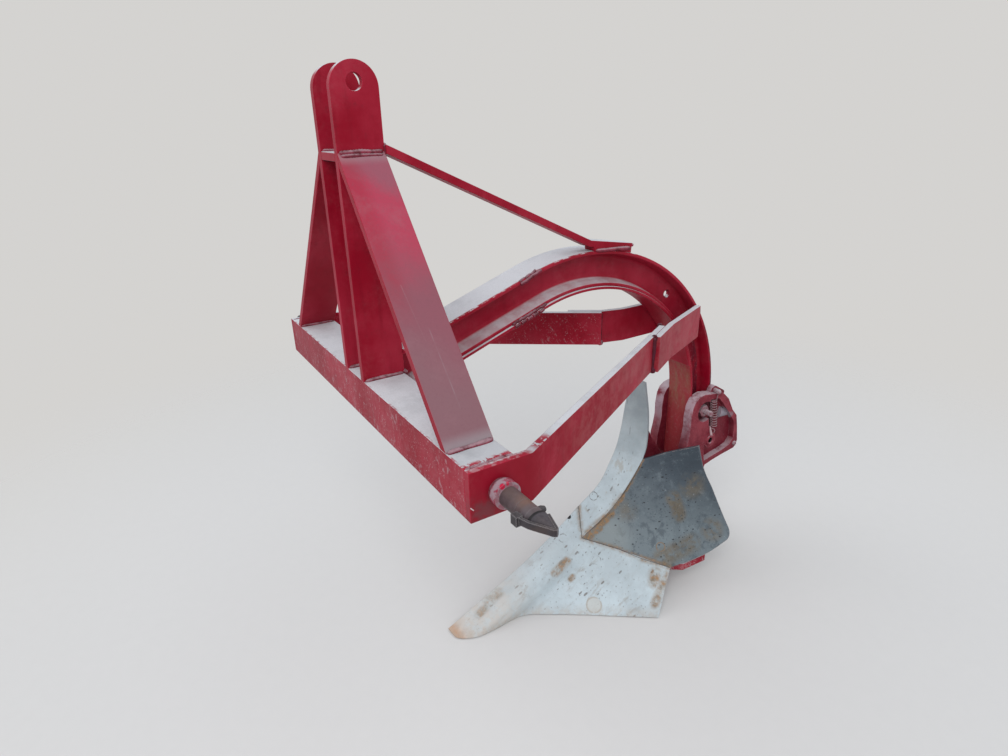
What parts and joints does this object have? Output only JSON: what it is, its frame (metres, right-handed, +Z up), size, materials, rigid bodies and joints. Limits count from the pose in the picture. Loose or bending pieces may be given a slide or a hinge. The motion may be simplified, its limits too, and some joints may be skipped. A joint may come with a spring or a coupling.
{
  "type": "moldboard plough",
  "caption": "Mounted single-furrow plough: square toolbar, three-point mast, curved I-beam, spring-trip head and a worn left-hand bottom.",
  "frame": {"origin": "on the ground, in the middle of the plough's length and width", "axes": "+X to the plough's left along the lift pins, +Y to its rear, +Z up"},
  "size_m": [1.0708, 0.987, 1.1862],
  "materials": {
    "red_paint": "faded and dusty",
    "red_casting": "rough, worn red paint",
    "bare_steel": "brown bare steel",
    "dark_steel": "dark oxide",
    "worn_share": "pitted and dusty",
    "mouldboard_steel": "dull with rust patches"
  },
  "bodies": {
    "frame": {"toolbar": "red_paint", "side_arm_left": "red_paint", "side_arm_right": "red_paint", "arm_tail_left": "red_paint", "arm_tail_right": "red_paint", "upright_left": "red_paint", "upright_right": "red_paint", "mast_spacer": "red_paint", "leg_left": "red_paint", "leg_right": "red_paint", "top_brace": "red_paint", "beam": "red_paint", "beam_strap": "red_paint", "lift_pin_left": "bare_steel", "lift_pin_right": "bare_steel", "cheek_left": "red_casting", "cheek_right": "red_casting", "head_bolts": "bare_steel", "latch_spring": "dark_steel", "trip_pin": "bare_steel"},
    "bottom": {"frog": "red_casting", "share": "worn_share", "shin": "worn_share", "mouldboard": "mouldboard_steel", "mouldboard_brace": "red_paint", "landside": "mouldboard_steel", "landside_heel": "mouldboard_steel"},
    "left_linch_pin": {"linch_pin_left": "dark_steel"},
    "right_linch_pin": {"linch_pin_right": "dark_steel"}
  },
  "joints": [
    {"name": "trip_hinge", "type": "hinge", "parent": "frame", "child": "bottom", "pos_m": [0.018, 0.3185, 0.212], "axis": [1, 0, 0], "range_deg": [0, 25]},
    {"name": "linch_left_slide", "type": "slide", "parent": "frame", "child": "left_linch_pin", "axis": [0, -1, 0], "range_m": [0, 0.1]},
    {"name": "linch_right_slide", "type": "slide", "parent": "frame", "child": "right_linch_pin", "axis": [0, -1, 0], "range_m": [0, 0.1]}
  ]
}
